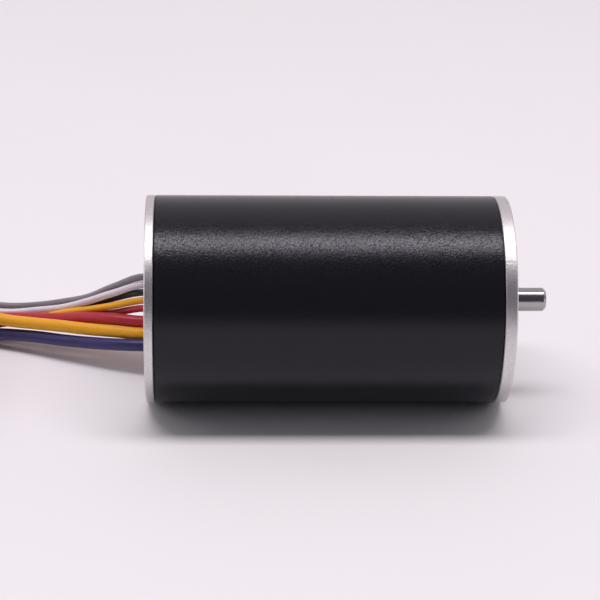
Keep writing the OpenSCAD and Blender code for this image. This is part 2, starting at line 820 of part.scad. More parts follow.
// A band round all the turns at each tie's angle, with its head on the outside and a short tail
module coil_ties() {
    column_h = max(lead_height(1) + phase_lead_d / 2, lead_height(3) + hall_lead_d / 2);
    color(nylon) for (angle = tie_angles) {
        inside = min(passes(0, angle)) - phase_lead_d / 2 - tie_gap;
        outside = max(passes(3, angle)) + hall_lead_d / 2 + tie_gap;
        top = column_h + tie_gap;
        translate([coil_x, coil_side, floor_z]) rotate([0, 0, 90 + angle]) {
            rotate([90, 0, 0]) translate([0, 0, -tie_w / 2]) linear_extrude(tie_w) difference() {
                rounded_rect([inside - tie_t, 0], [outside + tie_t, top + tie_t], 2 * tie_t);
                rounded_rect([inside, tie_t], [outside, top], tie_t);
            }
            translate([outside - tie_head_l, -tie_w / 2 - tie_t, top + tie_t]) {
                cube([tie_head_l, tie_w + 2 * tie_t, tie_head_h]);
            }
            translate([outside - tie_head_l - tie_tail_l, -tie_w / 2, top + (tie_head_h + tie_t) / 2])
                cube([tie_tail_l + tie_t, tie_w, tie_t]);
        }
    }
}

housing_tube();
front_flange();
rear_cover();
wire_grommet();
stator_stack();
insulation_sleeve();
winding_phase_u();
winding_phase_v();
winding_phase_w();
front_coil_support();
rear_coil_support();
winding_pins();
hall_board();
hall_sensors();
solder_pads();
board_screws();
front_bearing_outer_ring();
front_bearing_inner_ring();
front_bearing_cage();
front_bearing_balls();
front_bearing_shields();
rear_bearing_outer_ring();
rear_bearing_inner_ring();
rear_bearing_cage();
rear_bearing_balls();
rear_bearing_shields();
preload_washer();
shaft();
shaft_clip();
rotor_magnet();
magnet_retainer();
front_balance_disc();
rear_balance_disc();
sensor_magnet();
front_spacer();
rear_spacer();
phase_lead_red();
phase_lead_yellow();
phase_lead_blue();
hall_lead_grey();
hall_lead_white();
hall_lead_black();
hall_lead_yellow();
hall_lead_red();
phase_coil_red();
phase_coil_yellow();
phase_coil_blue();
hall_coil_grey();
hall_coil_white();
hall_coil_black();
hall_coil_yellow();
hall_coil_red();
lead_tips();
coil_ties();
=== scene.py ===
"""Looks of a brushless motor that lies on its side, with its leads laid in a coil behind it.

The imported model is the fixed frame. This script gives each of its nodes a finish, and builds finer
pieces for what the model simplifies: the leads and their tinned ends, the ties round their coil, and
the threads in the mounting holes. Lengths are in metres, apart from those whose names end in _mm.
"""

import json
import logging
import math
from dataclasses import dataclass
from enum import Enum
from typing import Sequence

import bmesh
import bpy
from mathutils import Matrix, Vector


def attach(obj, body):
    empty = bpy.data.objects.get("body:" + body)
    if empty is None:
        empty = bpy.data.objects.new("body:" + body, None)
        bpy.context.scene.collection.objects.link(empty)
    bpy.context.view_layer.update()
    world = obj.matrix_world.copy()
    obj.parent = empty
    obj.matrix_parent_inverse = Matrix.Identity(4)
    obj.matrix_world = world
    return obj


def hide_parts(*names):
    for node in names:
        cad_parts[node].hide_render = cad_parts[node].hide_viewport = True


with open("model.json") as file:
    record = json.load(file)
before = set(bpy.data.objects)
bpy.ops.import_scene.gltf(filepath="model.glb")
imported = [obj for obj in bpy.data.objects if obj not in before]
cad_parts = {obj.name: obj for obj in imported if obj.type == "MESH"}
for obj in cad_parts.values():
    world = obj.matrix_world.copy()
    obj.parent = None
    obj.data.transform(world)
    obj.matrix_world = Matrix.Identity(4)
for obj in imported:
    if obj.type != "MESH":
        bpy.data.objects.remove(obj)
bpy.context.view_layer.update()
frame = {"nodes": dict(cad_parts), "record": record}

MM = 0.001
STATOR = "stator"
UP = Vector((0.0, 0.0, 1.0))

# A noise texture's values stay mostly within this range
NOISE_SPAN = (0.3, 0.7)

# Colour sockets of a mix node, whose names are shared by its number and vector sockets
MIX_INPUTS = (6, 7)
MIX_OUTPUT = 2

# Angles in degrees above which an edge stays sharp
TUBE_CREASE = 50.0
BLOCK_CREASE = 35.0

LOG = logging.getLogger("motor_scene")

Point = tuple[float, float, float]
Colour = tuple[float, float, float]


class Grain(Enum):
    """How the fine grain of a finish runs."""

    EVEN = "even"
    ROUND_AXIS = "round_axis"
    ALONG_AXIS = "along_axis"


class LeadKind(Enum):
    """The two kinds of lead. The value is the insulation's outside diameter in millimetres."""

    PHASE = 2.15
    HALL = 1.25


class ShaderGraph:
    """Short calls to build one material's node tree."""

    def __init__(self, name: str) -> None:
        """Starts a material with one surface shader.

        Args:
            name: the material's name.
        """
        self.material = bpy.data.materials.new(name)
        self.material.use_nodes = True
        self.tree = self.material.node_tree
        self.tree.nodes.clear()
        self.shader = self.add("ShaderNodeBsdfPrincipled")
        output = self.add("ShaderNodeOutputMaterial")
        self.join(self.shader.outputs["BSDF"], output.inputs["Surface"])

    def add(self, kind: str, **settings: object) -> bpy.types.Node:
        """Adds a node.

        Args:
            kind: the node's type name.
            **settings: properties to set on the node.

        Returns:
            The new node.
        """
        node = self.tree.nodes.new(kind)
        for key, value in settings.items():
            setattr(node, key, value)
        return node

    def join(self, source: bpy.types.NodeSocket, target: bpy.types.NodeSocket) -> None:
        """Links an output socket to an input socket."""
        self.tree.links.new(source, target)

    def math(self, operation: str, first: object, second: object = None) -> bpy.types.NodeSocket:
        """Adds a math node.

        Args:
            operation: the name of the operation.
            first: a socket or a number.
            second: a socket or a number, or None where the operation takes one value.

        Returns:
            The node's output socket.
        """
        node = self.add("ShaderNodeMath", operation=operation)
        for index, value in enumerate((first, second)):
            if isinstance(value, bpy.types.NodeSocket):
                self.join(value, node.inputs[index])
            elif value is not None:
                node.inputs[index].default_value = float(value)
        return node.outputs[0]

    def split(self, vector: bpy.types.NodeSocket) -> tuple[bpy.types.NodeSocket, ...]:
        """The three parts of a vector, each as a socket."""
        node = self.add("ShaderNodeSeparateXYZ")
        self.join(vector, node.inputs[0])
        return tuple(node.outputs)

    def ramp(self, value: bpy.types.NodeSocket, span: tuple[float, float],
             ends: tuple[float, float] = (0.0, 1.0)) -> bpy.types.NodeSocket:
        """Maps a value from one range to another, and holds it beyond the ends.

        Args:
            value: the value's socket.
            span: where the change starts and ends.
            ends: the results there.

        Returns:
            The mapped output socket.
        """
        node = self.add("ShaderNodeMapRange")
        self.join(value, node.inputs["Value"])
        for label, number in zip(("From Min", "From Max", "To Min", "To Max"), (*span, *ends)):
            node.inputs[label].default_value = number
        return node.outputs["Result"]

    def noise(self, vector: bpy.types.NodeSocket, size_mm: float,
              detail: float = 2.0) -> bpy.types.NodeSocket:
        """Adds a noise texture.

        Args:
            vector: the coordinates, in metres.
            size_mm: size of the noise's grains.
            detail: number of finer layers.

        Returns:
            The noise value's socket.
        """
        node = self.add("ShaderNodeTexNoise")
        self.join(vector, node.inputs["Vector"])
        node.inputs["Scale"].default_value = 1 / (size_mm * MM)
        node.inputs["Detail"].default_value = detail
        return node.outputs["Fac"]

    def blend_colours(self, share: bpy.types.NodeSocket, low: Colour,
                      high: Colour) -> bpy.types.NodeSocket:
        """Mixes two colours.

        Args:
            share: the share of the second colour.
            low: the first colour.
            high: the second colour.

        Returns:
            The mixed colour's socket.
        """
        node = self.add("ShaderNodeMix", data_type="RGBA")
        self.join(share, node.inputs["Factor"])
        for index, colour in zip(MIX_INPUTS, (low, high)):
            node.inputs[index].default_value = (*colour, 1.0)
        return node.outputs[MIX_OUTPUT]


@dataclass(frozen=True)
class Finish:
    """One finish: its colour, its gloss and its grain."""

    name: str
    colour: Colour
    roughness: float
    metallic: float = 0.0
    grain: Grain = Grain.EVEN
    grain_mm: float = 0.15
    grain_depth_mm: float = 0.002
    stretch: float = 12.0
    colour_spread: float = 0.08
    roughness_spread: float = 0.04
    patch_mm: float = 4.0
    specular: float = 0.5
    specular_tint: Colour = (1.0, 1.0, 1.0)
    speckle: float = 0.0
    speckle_mm: float = 0.2
    coat: float = 0.0
    coat_roughness: float = 0.1
    subsurface: float = 0.0

    def shades(self) -> tuple[Colour, Colour]:
        """The darker and the lighter colour that the finish varies between."""
        low = tuple(c * (1 - self.colour_spread) for c in self.colour)
        high = tuple(min(c * (1 + self.colour_spread), 1.0) for c in self.colour)
        return low, high

    def coordinates(self, graph: ShaderGraph) -> bpy.types.NodeSocket:
        """Adds the coordinates that the grain follows.

        Args:
            graph: the material's node tree.

        Returns:
            A vector socket, in metres.
        """
        place = graph.add("ShaderNodeTexCoord").outputs["Object"]
        if self.grain is Grain.EVEN:
            return place
        along, across_y, across_z = graph.split(place)
        squares = [graph.math("MULTIPLY", value, value) for value in (across_y, across_z)]
        radius = graph.math("SQRT", graph.math("ADD", *squares))
        turn = graph.math("ARCTAN2", across_z, across_y)
        if self.grain is Grain.ROUND_AXIS:
            arc = graph.math("MULTIPLY", turn, REAL.body_r / self.stretch)
        else:
            arc = graph.math("MULTIPLY", turn, REAL.body_r)
            along = graph.math("DIVIDE", along, self.stretch)
        merged = graph.add("ShaderNodeCombineXYZ")
        for index, value in enumerate((along, arc, radius)):
            graph.join(value, merged.inputs[index])
        return merged.outputs[0]

    def share_left_by_painted_shade(self, graph: ShaderGraph, place: bpy.types.NodeSocket) -> object:
        """Share of the gloss and colour that painted shade leaves at a place: all of it on a plain
        finish.

        Args:
            graph: the material's node tree.
            place: the object's own coordinates, in metres.

        Returns:
            A number, or a socket where the share changes over the surface.
        """
        return 1.0

    def speckle_at(self, graph: ShaderGraph, place: bpy.types.NodeSocket) -> object:
        """How much the gloss varies from grain to grain: the same everywhere on a plain finish.

        Args:
            graph: the material's node tree.
            place: the object's own coordinates, in metres.

        Returns:
            A number, or a socket where it changes over the surface.
        """
        return self.speckle

    def add_speckle(self, graph: ShaderGraph, colour: bpy.types.NodeSocket) -> None:
        """Lets the gloss of a blasted surface vary from grain to grain, and darkens gloss and colour
        alike where the finish paints shade.

        Args:
            graph: the material's node tree.
            colour: the surface's colour.
        """
        place = graph.add("ShaderNodeTexCoord").outputs["Object"]
        grains = graph.ramp(graph.noise(place, self.speckle_mm, 0.0), NOISE_SPAN, (-1.0, 1.0))
        change = graph.math("MULTIPLY", grains, self.speckle_at(graph, place))
        gain = graph.math("ADD", change, 1.0)
        # Painted shade: gloss and colour are darkened together where the finish leaves less than all
        # of its share.
        gain = graph.math("MULTIPLY", gain, self.share_left_by_painted_shade(graph, place))
        gloss = graph.math("MULTIPLY", gain, self.specular)
        graph.join(gloss, graph.shader.inputs["Specular IOR Level"])
        scaled = graph.add("ShaderNodeVectorMath", operation="SCALE")
        graph.join(colour, scaled.inputs[0])
        graph.join(gain, scaled.inputs["Scale"])
        graph.join(scaled.outputs[0], graph.shader.inputs["Base Color"])

    def make(self) -> bpy.types.Material:
        """Builds the material.

        Returns:
            The new material.
        """
        graph = ShaderGraph(self.name)
        shader = graph.shader
        grain_place = self.coordinates(graph)
        patch_place = graph.add("ShaderNodeTexCoord").outputs["Object"]
        patches = graph.noise(patch_place, self.patch_mm)
        grains = graph.noise(grain_place, self.grain_mm)
        mean = graph.math("MULTIPLY", graph.math("ADD", patches, grains), 0.5)
        share = graph.ramp(mean, NOISE_SPAN)
        colour = graph.blend_colours(share, *self.shades())
        if self.speckle:
            self.add_speckle(graph, colour)
        else:
            graph.join(colour, shader.inputs["Base Color"])
            shader.inputs["Specular IOR Level"].default_value = self.specular
        low = self.roughness - self.roughness_spread
        high = self.roughness + self.roughness_spread
        graph.join(graph.ramp(patches, NOISE_SPAN, (low, high)), shader.inputs["Roughness"])
        bump = graph.add("ShaderNodeBump")
        bump.inputs["Distance"].default_value = self.grain_depth_mm * MM
        bump.inputs["Strength"].default_value = 1.0
        graph.join(grains, bump.inputs["Height"])
        graph.join(bump.outputs["Normal"], shader.inputs["Normal"])
        shader.inputs["Metallic"].default_value = self.metallic
        shader.inputs["Specular Tint"].default_value = (*self.specular_tint, 1.0)
        shader.inputs["Coat Weight"].default_value = self.coat
        shader.inputs["Coat Roughness"].default_value = self.coat_roughness
        shader.inputs["Subsurface Weight"].default_value = self.subsurface
        shader.inputs["Subsurface Radius"].default_value = (MM, MM, MM)
        return graph.material


@dataclass(frozen=True)
class RealSizes:
    """Real sizes that pieces share, as in the part's source."""

    body_d_mm: float = 35.0
    body_l_mm: float = 60.5
    front_rim_mm: float = 2.05
    rear_rim_mm: float = 1.5
    shaft_d_mm: float = 4.0
    lead_l_mm: float = 200.0
    tip_l_mm: float = 3.0

    @property
    def body_r(self) -> float:
        """Radius of the body in metres."""
        return self.body_d_mm / 2 * MM

    @property
    def rear_x(self) -> float:
        """Place of the rear face along the axis, in metres."""
        return -self.body_l_mm * MM

    @property
    def floor_z(self) -> float:
        """Height of the surface that the motor lies on, in metres."""
        return -self.body_r


REAL = RealSizes()


@dataclass(frozen=True)
class TubeFinish(Finish):
    """The tube's finish: painted shade on the chamfers at its ends, and a painted glint on its
    shoulders.
    """

    # Painted shade of the seams: over a band at each end of the tube, gloss and colour fall to a
    # small share.
    edge_mm: float = 0.17
    painted_shade_fade_mm: float = 0.05
    painted_shade_share: float = 0.12
    # Painted glint: the speckle is kept to the band of heights where the highlight of the light
    # overhead falls.
    painted_glint_rise: tuple[float, float] = (0.56, 0.74)
    painted_glint_fall: tuple[float, float] = (0.99, 0.9)

    def speckle_at(self, graph: ShaderGraph, place: bpy.types.NodeSocket) -> bpy.types.NodeSocket:
        """How much the gloss varies at a place: a painted glint, the grains' speckle kept to the two
        upper shoulders where the overhead light's highlight falls.

        Args:
            graph: the material's node tree.
            place: the object's own coordinates, in metres.

        Returns:
            The variation's socket.
        """
        height = graph.math("DIVIDE", graph.split(place)[2], REAL.body_r)
        shares = [graph.ramp(height, span) for span in (self.painted_glint_rise, self.painted_glint_fall)]
        return graph.math("MULTIPLY", graph.math("MULTIPLY", *shares), self.speckle)

    def share_left_by_painted_shade(self, graph: ShaderGraph, place: bpy.types.NodeSocket) -> bpy.types.NodeSocket:
        """Share of the gloss and colour that is left at a place: painted shade of the seams leaves
        little on the end chamfers, all elsewhere.

        Args:
            graph: the material's node tree.
            place: the object's own coordinates, in metres.

        Returns:
            The share's socket.
        """
        front_x, rear_x = -REAL.front_rim_mm * MM, REAL.rear_x + REAL.rear_rim_mm * MM
        from_middle = graph.math("SUBTRACT", graph.split(place)[0], (front_x + rear_x) / 2)
        off_middle = graph.math("ABSOLUTE", from_middle)
        edge = (front_x - rear_x) / 2 - self.edge_mm * MM
        span = (edge - self.painted_shade_fade_mm * MM, edge)
        return graph.ramp(off_middle, span, (1.0, self.painted_shade_share))


FINISHES: dict[str, Finish] = {finish.name: finish for finish in (
    TubeFinish("black_anodised", (0.0094, 0.0094, 0.0120), 0.22, grain_mm=0.22,
               grain_depth_mm=0.032, roughness_spread=0.01, specular=0.31,
               specular_tint=(0.92, 0.90, 1.0), speckle=0.56, speckle_mm=0.24),
    Finish("machined_rim", (0.70, 0.68, 0.68), 0.4, 1.0, grain_mm=0.25,
           grain_depth_mm=0.04, colour_spread=0.05, roughness_spread=0.01,
           speckle=0.1),
    Finish("black_nylon", (0.018, 0.018, 0.02), 0.45, grain_mm=0.3,
           grain_depth_mm=0.004),
    Finish("lamination_steel", (0.35, 0.36, 0.38), 0.45, 1.0, Grain.ROUND_AXIS,
           grain_mm=0.2, grain_depth_mm=0.02),
    Finish("insulating_film", (0.55, 0.38, 0.12), 0.35, grain_depth_mm=0.001,
           coat=0.3),
    Finish("enamelled_copper", (0.62, 0.22, 0.08), 0.28, 0.8, Grain.ALONG_AXIS,
           grain_mm=0.3, grain_depth_mm=0.06, coat=0.5),
    Finish("moulded_plastic", (0.05, 0.05, 0.055), 0.5, grain_mm=0.4),
    Finish("bare_copper", (0.80, 0.42, 0.24), 0.3, 1.0, grain_depth_mm=0.001),
    Finish("board_laminate", (0.01, 0.12, 0.045), 0.35, grain_mm=0.5,
           grain_depth_mm=0.004, coat=0.4),
    Finish("sensor_package", (0.02, 0.02, 0.02), 0.55),
    Finish("solder", (0.72, 0.71, 0.70), 0.28, 1.0, grain_mm=0.25, grain_depth_mm=0.008),
    Finish("brass_screw", (0.72, 0.55, 0.25), 0.3, 1.0, Grain.ROUND_AXIS),
    Finish("ground_shaft", (0.42, 0.40, 0.40), 0.2, 1.0, Grain.ROUND_AXIS,
           grain_mm=0.1, grain_depth_mm=0.0002, colour_spread=0.04,
           roughness_spread=0.02),
    Finish("spring_steel", (0.22, 0.23, 0.27), 0.35, 1.0, Grain.ROUND_AXIS),
    Finish("magnet", (0.5, 0.5, 0.52), 0.3, 1.0, grain_mm=0.3, grain_depth_mm=0.003),
    Finish("retainer_fibre", (0.02, 0.02, 0.022), 0.4, 0.0, Grain.ROUND_AXIS,
           grain_mm=0.2, grain_depth_mm=0.03, coat=0.5),
    Finish("brass_disc", (0.75, 0.58, 0.27), 0.28, 1.0, Grain.ROUND_AXIS,
           grain_depth_mm=0.003),
    Finish("bearing_steel", (0.68, 0.68, 0.69), 0.2, 1.0, Grain.ROUND_AXIS,
           grain_mm=0.1, grain_depth_mm=0.001),
    Finish("brass_cage", (0.74, 0.55, 0.26), 0.35, 1.0, Grain.ROUND_AXIS),
    Finish("bearing_ball", (0.78, 0.78, 0.79), 0.06, 1.0, grain_depth_mm=0.0002,
           colour_spread=0.02, roughness_spread=0.01),
    Finish("shield_steel", (0.55, 0.55, 0.56), 0.3, 1.0, Grain.ROUND_AXIS,
           grain_mm=0.12, grain_depth_mm=0.001),
    Finish("red_insulation", (0.44, 0.03, 0.045), 0.36, specular=0.34,
           subsurface=0.08),
    Finish("yellow_insulation", (0.84, 0.40, 0.022), 0.36, specular=0.3,
           subsurface=0.1),
    Finish("blue_insulation", (0.038, 0.033, 0.13), 0.36, specular=0.4),
    Finish("grey_insulation", (0.22, 0.195, 0.215), 0.36, specular=0.45),
    Finish("white_insulation", (0.74, 0.68, 0.74), 0.36, specular=0.45,
           subsurface=0.15),
    Finish("black_insulation", (0.018, 0.018, 0.016), 0.36, specular=0.45),
)}


class MaterialShelf:
    """Makes each material once and hands it out by its slot's name."""

    def __init__(self) -> None:
        """Starts with no material made."""
        self.made: dict[str, bpy.types.Material] = {}

    def get(self, slot: str) -> bpy.types.Material:
        """The material of a slot, made at its first use.

        Args:
            slot: the record's slot name.

        Returns:
            The material.
        """
        if slot not in self.made:
            self.made[slot] = FINISHES[slot].make()
        return self.made[slot]


SHELF = MaterialShelf()


def add_piece(name: str, shape: bmesh.types.BMesh, slot: str,
              stands_for: Sequence[str] = ()) -> bpy.types.Object:
    """Turns a bmesh into a piece of the motor that rides on the stator.

    Args:
        name: the piece's name.
        shape: its mesh, in the row frame; it is freed.
        slot: the record's material slot.
        stands_for: the nodes that it replaces.

    Returns:
        The new object.
    """
    mesh = bpy.data.meshes.new(name)
    bmesh.ops.recalc_face_normals(shape, faces=shape.faces)
    shape.to_mesh(mesh)
    shape.free()
    piece = bpy.data.objects.new(name, mesh)
    bpy.context.scene.collection.objects.link(piece)
    mesh.materials.append(SHELF.get(slot))
    for face in mesh.polygons:
        face.use_smooth = True
    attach(piece, STATOR)
    if stands_for:
        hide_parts(*stands_for)
    LOG.info("piece %s: %d faces, finish %s", name, len(mesh.polygons), slot)
    return piece


def keep_edges_sharp(piece: bpy.types.Object, angle_deg: float) -> None:
    """Marks edges sharper than an angle, so that smooth shading stops at them.

    Args:
        piece: the object.
        angle_deg: the angle between faces above which an edge is sharp.
    """
    shape = bmesh.new()
    shape.from_mesh(piece.data)
    for edge in shape.edges:
        if len(edge.link_faces) == 2:
            edge.smooth = edge.calc_face_angle() < math.radians(angle_deg)
    shape.to_mesh(piece.data)
    shape.free()


@dataclass(frozen=True)
class StudioCamera:
    """The camera, as fitted to the photograph."""

    lens_mm: float = 125.927
    sensor_mm: float = 36.0
    place: Point = (-0.049269, -0.321347, 0.149809)
    right: Point = (0.999147, -0.036825, 0.018682)
    up: Point = (-0.001354, 0.422973, 0.906142)
    clip_start: float = 0.01
    clip_end: float = 50.0

    def build(self) -> bpy.types.Object:
        """Adds the camera to the scene.

        Returns:
            The camera object.
        """
        data = bpy.data.cameras.new("camera")
        data.lens = self.lens_mm
        data.sensor_width = self.sensor_mm
        data.clip_start = self.clip_start
        data.clip_end = self.clip_end
        camera = bpy.data.objects.new("camera", data)
        bpy.context.scene.collection.objects.link(camera)
        right = Vector(self.right).normalized()
        back = right.cross(Vector(self.up)).normalized()
        up = back.cross(right)
        turn = Matrix((right, up, back)).transposed().to_4x4()
        camera.matrix_world = Matrix.Translation(self.place) @ turn
        bpy.context.scene.camera = camera
        return camera


@dataclass(frozen=True)
class Studio:
    """Pale floor, a long key light overhead and a room that is bright behind and at the sides."""

    floor_half: float = 4.0
    floor_roughness: float = 0.85
    floor_specular: float = 0.15
    floor_patch_mm: float = 60.0
    floor_spread: float = 0.1
    # Painted light: the floor's colour is mixed from the back colour to a lighter front colour, for
    # light that is brighter in front.
    floor_back: Colour = (0.795, 0.78, 0.79)
    floor_front_painted_light: Colour = (0.842, 0.832, 0.838)
    painted_light_span: tuple[float, float] = (0.3, -0.1)
    key_watts: float = 10.8
    key_colour: Colour = (1.0, 0.94, 0.972)
    key_height: float = 1.15
    key_length: float = 1.3
    key_width: float = 0.26
    key_x: float = -0.03
    key_y: float = -0.022
    room_back: Colour = (0.65, 0.60, 0.645)
    room_front: Colour = (0.079, 0.076, 0.1)
    room_left: Colour = (2.0, 1.93, 1.97)
    room_right: Colour = (1.4, 1.35, 1.38)
    back_span: tuple[float, float] = (0.0, 0.6)
    left_span: tuple[float, float] = (-0.72, -0.85)
    right_span: tuple[float, float] = (0.72, 0.85)
    side_rise: tuple[float, float] = (0.15, 0.3)

    def floor_material(self) -> bpy.types.Material:
        """The floor's matt material, with a barely visible unevenness and painted light that makes
        it lighter towards the front.

        Returns:
            The material.
        """
        graph = ShaderGraph("studio_floor")
        place = graph.add("ShaderNodeTexCoord").outputs["Object"]
        patches = graph.noise(place, self.floor_patch_mm)
        painted_light_share = graph.ramp(graph.split(place)[1], self.painted_light_span)
        uneven = graph.ramp(patches, NOISE_SPAN, (-self.floor_spread, self.floor_spread))
        share = graph.math("ADD", painted_light_share, uneven)
        colour = graph.blend_colours(share, self.floor_back, self.floor_front_painted_light)
        graph.join(colour, graph.shader.inputs["Base Color"])
        graph.shader.inputs["Roughness"].default_value = self.floor_roughness
        graph.shader.inputs["Specular IOR Level"].default_value = self.floor_specular
        return graph.material

    def build_floor(self) -> None:
        """Adds the floor, which isn't part of the object."""
        half = self.floor_half
        shape = bmesh.new()
        corners = [(-half, -half), (half, -half), (half, half), (-half, half)]
        shape.faces.new([shape.verts.new((x, y, REAL.floor_z)) for x, y in corners])
        mesh = bpy.data.meshes.new("studio_floor")
        shape.to_mesh(mesh)
        shape.free()
        mesh.materials.append(self.floor_material())
        floor = bpy.data.objects.new("studio_floor", mesh)
        bpy.context.scene.collection.objects.link(floor)

    def build_key(self) -> None:
        """Adds the key light: a long narrow softbox straight above the motor."""
        data = bpy.data.lights.new("key", "AREA")
        data.shape = "RECTANGLE"
        data.size = self.key_length
        data.size_y = self.key_width
        data.energy = self.key_watts
        data.color = self.key_colour
        key = bpy.data.objects.new("key", data)
        key.location = (self.key_x, self.key_y, REAL.floor_z + self.key_height)
        bpy.context.scene.collection.objects.link(key)

    def build_room(self) -> None:
        """Makes the world: bright behind the motor and at both sides, dim in front."""
        world = bpy.data.worlds.new("room")
        bpy.context.scene.world = world
        world.use_nodes = True
        tree = world.node_tree
        tree.nodes.clear()
        place = tree.nodes.new("ShaderNodeTexCoord")
        split = tree.nodes.new("ShaderNodeSeparateXYZ")
        tree.links.new(place.outputs["Generated"], split.inputs[0])
        depths = (self.room_front, self.room_back)
        colour = self.room_step(tree, split.outputs[1], self.back_span, depths)
        sides = ((self.left_span, self.room_left), (self.right_span, self.room_right))
        for span, side in sides:
            raised = self.room_step(tree, split.outputs[2], self.side_rise, (colour, side))
            colour = self.room_step(tree, split.outputs[0], span, (colour, raised))
        background = tree.nodes.new("ShaderNodeBackground")
        output = tree.nodes.new("ShaderNodeOutputWorld")
        tree.links.new(colour, background.inputs["Color"])
        tree.links.new(background.outputs[0], output.inputs[0])

    def room_step(self, tree: bpy.types.NodeTree, value: bpy.types.NodeSocket,
                  span: tuple[float, float], colours: Sequence[object]) -> bpy.types.NodeSocket:
        """Adds a soft change from one colour of the room to another.

        Args:
            tree: the world's node tree.
            value: the direction's part that drives the change.
            span: where the change starts and ends.
            colours: the two colours, each a socket or plain values.

        Returns:
            The mixed colour's socket.
        """
        ramp = tree.nodes.new("ShaderNodeMapRange")
        ramp.interpolation_type = "SMOOTHSTEP"
        ramp.inputs["From Min"].default_value = span[0]
        ramp.inputs["From Max"].default_value = span[1]
        tree.links.new(value, ramp.inputs["Value"])
        mix = tree.nodes.new("ShaderNodeMix")
        mix.data_type = "RGBA"
        tree.links.new(ramp.outputs["Result"], mix.inputs["Factor"])
        for index, colour in zip(MIX_INPUTS, colours):
            if isinstance(colour, bpy.types.NodeSocket):
                tree.links.new(colour, mix.inputs[index])
            else:
                mix.inputs[index].default_value = (*colour, 1.0)
        return mix.outputs[MIX_OUTPUT]

    def build(self) -> None:
        """Adds the floor, the key light and the room."""
        self.build_floor()
        self.build_key()
        self.build_room()


@dataclass(frozen=True)
class Coil:
    """The coil that the leads end in. It has the same values as the part's source."""

    behind_mm: float = 47.0
    side_mm: float = 5.0
    phase_r_mm: float = 15.6
    lead_gap_mm: float = 0.05
    column_gap_mm: float = 0.12
    turn_gap_mm: float = 0.7
    tie_t_mm: float = 0.6
    tie_w_mm: float = 2.4
    tie_gap_mm: float = 0.3
    tie_angles: tuple[float, float] = (75.0, 255.0)

    @property
    def x_mm(self) -> float:
        """Place of the coil's centre along the motor's axis."""
        return -REAL.body_l_mm - self.behind_mm

    @property
    def pitch_mm(self) -> float:
        """Distance between a turn and the next."""
        return LeadKind.PHASE.value + self.column_gap_mm + LeadKind.HALL.value + self.turn_gap_mm

    def start_r_mm(self, kind: LeadKind) -> float:
        """Radius where a lead of that kind enters the coil."""
        if kind is LeadKind.PHASE:
            return self.phase_r_mm
        return self.phase_r_mm + LeadKind.PHASE.value / 2 + self.column_gap_mm + kind.value / 2

    def radius_mm(self, kind: LeadKind, angle: float) -> float:
        """Radius of a lead after it has turned through an angle, in degrees."""
        return self.start_r_mm(kind) - self.pitch_mm * angle / 360

    def height_mm(self, kind: LeadKind, level: int) -> float:
        """Height of a lead's centre above the surface, on its level of the coil."""
        lift = self.tie_t_mm + self.lead_gap_mm
        return lift + kind.value / 2 + level * (kind.value + self.lead_gap_mm)

    def point(self, kind: LeadKind, level: int, angle: float) -> Vector:
        """A point of a lead's spiral.

        Args:
            kind: the kind of lead.
            level: its level in the coil.
            angle: how far it has turned, in degrees.

        Returns:
            The point in metres.
        """
        radius, turn = self.radius_mm(kind, angle), math.radians(angle)
        x = self.x_mm - radius * math.sin(turn)
        y = self.side_mm + radius * math.cos(turn)
        return Vector((x * MM, y * MM, REAL.floor_z + self.height_mm(kind, level) * MM))

    def way(self, kind: LeadKind, angle: float) -> Vector:
        """Direction of a lead in the coil, after it has turned through an angle in degrees."""
        radius, turn = self.radius_mm(kind, angle), math.radians(angle)
        inward = self.pitch_mm / (2 * math.pi)
        x = inward * math.sin(turn) - radius * math.cos(turn)
        y = -inward * math.cos(turn) - radius * math.sin(turn)
        return Vector((x, y, 0.0)).normalized()


COIL = Coil()


